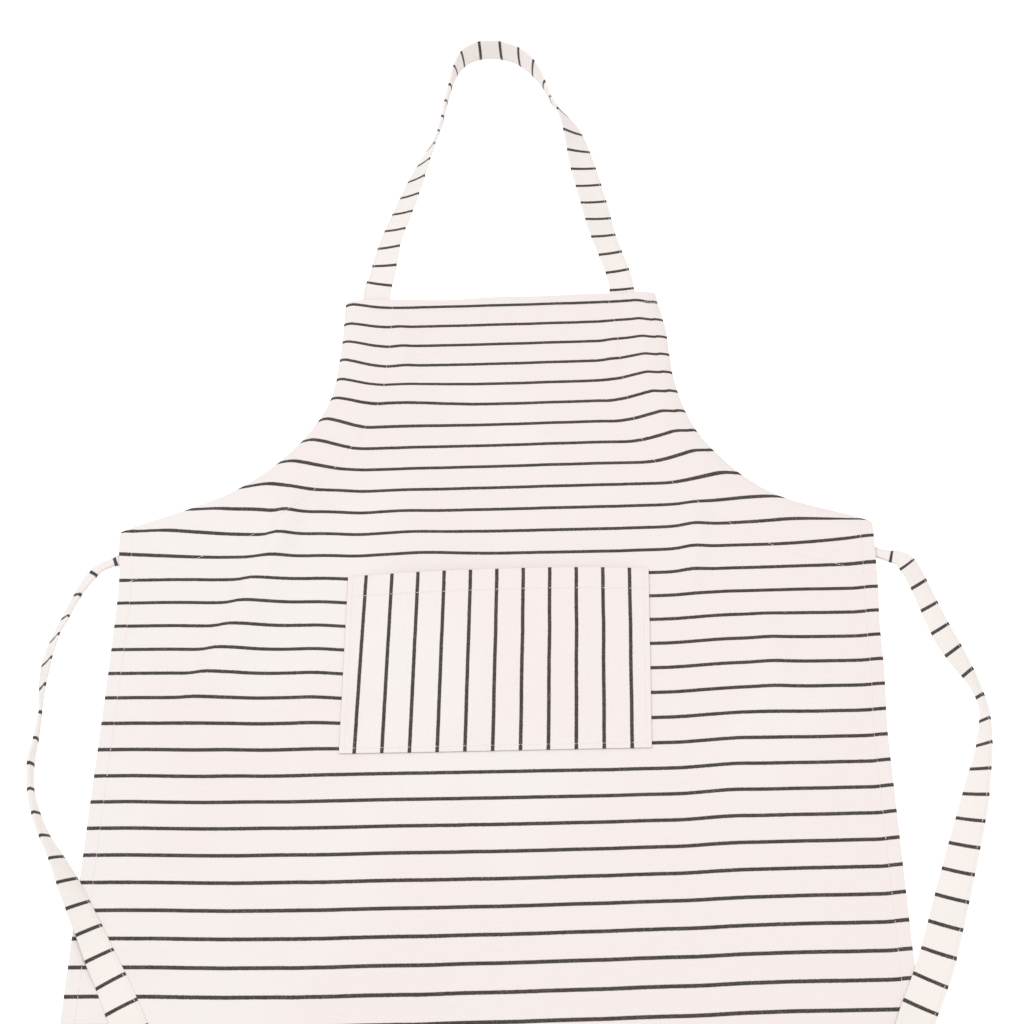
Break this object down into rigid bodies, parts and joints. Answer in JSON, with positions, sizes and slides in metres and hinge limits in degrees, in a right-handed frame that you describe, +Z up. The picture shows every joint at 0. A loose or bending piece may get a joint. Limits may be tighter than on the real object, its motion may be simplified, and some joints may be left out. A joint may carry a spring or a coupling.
{
  "type": "butcher apron",
  "caption": "Flat-laid bib apron of striped cotton with a patch pocket and one strap that runs through armhole casings as neck loop and waist ties.",
  "frame": {"origin": "on the surface that the apron lies on, under the middle of the body cloth (bib top to bottom hem, side edge to side edge)", "axes": "+Z up out of the apron's front face, +Y from the skirt towards the bib, +X across the apron; the straps are left out of the origin"},
  "size_m": [0.8747, 1.2319, 0.0306],
  "materials": {
    "body_cloth": "ribbed cotton with fine charcoal stripes across",
    "pocket_cloth": "ribbed cotton with fine charcoal stripes up and down",
    "facing_cloth": "plain cotton",
    "strap_cloth": "ribbed cotton with fine charcoal stripes across the strap",
    "thread": "off-white sewing thread"
  },
  "bodies": {
    "skirt": {"skirt_panel": "body_cloth", "pocket_panel": "pocket_cloth", "casing_facing_left_lower": "facing_cloth", "casing_facing_right_lower": "facing_cloth", "casing_seam_left_lower": "thread", "casing_seam_right_lower": "thread", "side_seam_left": "thread", "side_seam_right": "thread", "bottom_seam": "thread", "pocket_hem_seam": "thread", "pocket_edge_seam": "thread"},
    "bib": {"bib_panel": "body_cloth", "casing_facing_left_upper": "facing_cloth", "casing_facing_right_upper": "facing_cloth", "casing_seam_left_upper": "thread", "casing_seam_right_upper": "thread", "bib_top_seam": "thread"},
    "neck_strap": {"neck_loop": "strap_cloth", "strap_upper_left": "strap_cloth", "strap_upper_right": "strap_cloth"},
    "strap_arc_left": {"strap_arc_left": "strap_cloth"},
    "strap_arc_right": {"strap_arc_right": "strap_cloth"},
    "strap_lower_left": {"strap_lower_left": "strap_cloth"},
    "strap_lower_right": {"strap_lower_right": "strap_cloth"},
    "tie_left": {"tie_left": "strap_cloth"},
    "tie_right": {"tie_right": "strap_cloth"}
  },
  "joints": [
    {"name": "bib_fold", "type": "hinge", "parent": "skirt", "child": "bib", "pos_m": [0, 0.172, 0.008], "axis": [1, 0, 0], "range_deg": [0, 175]},
    {"name": "strap_draw", "type": "slide", "parent": "bib", "child": "neck_strap", "axis": [0, 1, 0], "range_m": [0, 0.015]},
    {"name": "strap_arc_turn_left", "type": "hinge", "parent": "bib", "child": "strap_arc_left", "pos_m": [-0.34501, 0.36024, 0.0021], "axis": [0, 0, 1], "range_deg": [0, 4.2]},
    {"name": "strap_arc_turn_right", "type": "hinge", "parent": "bib", "child": "strap_arc_right", "pos_m": [0.34501, 0.36024, 0.0021], "axis": [0, 0, -1], "range_deg": [0, 4.2]},
    {"name": "strap_draw_left", "type": "slide", "parent": "skirt", "child": "strap_lower_left", "axis": [0.9135, 0.4067, 0], "range_m": [0, 0.015]},
    {"name": "strap_draw_right", "type": "slide", "parent": "skirt", "child": "strap_lower_right", "axis": [-0.9135, 0.4067, 0], "range_m": [0, 0.015]},
    {"name": "tie_swing_left", "type": "hinge", "parent": "strap_lower_left", "child": "tie_left", "pos_m": [-0.38255, 0.13335, 0.0021], "axis": [0, 0, -1], "range_deg": [0, 60]},
    {"name": "tie_swing_right", "type": "hinge", "parent": "strap_lower_right", "child": "tie_right", "pos_m": [0.38255, 0.13335, 0.0021], "axis": [0, 0, 1], "range_deg": [0, 60]}
  ],
  "couplings": [
    {"joint": "strap_arc_turn_left", "follows": "strap_draw", "rad_per_m": 4.8309},
    {"joint": "strap_arc_turn_right", "follows": "strap_draw", "rad_per_m": 4.8309},
    {"joint": "strap_draw_left", "follows": "strap_draw", "ratio": 1},
    {"joint": "strap_draw_right", "follows": "strap_draw", "ratio": 1}
  ]
}
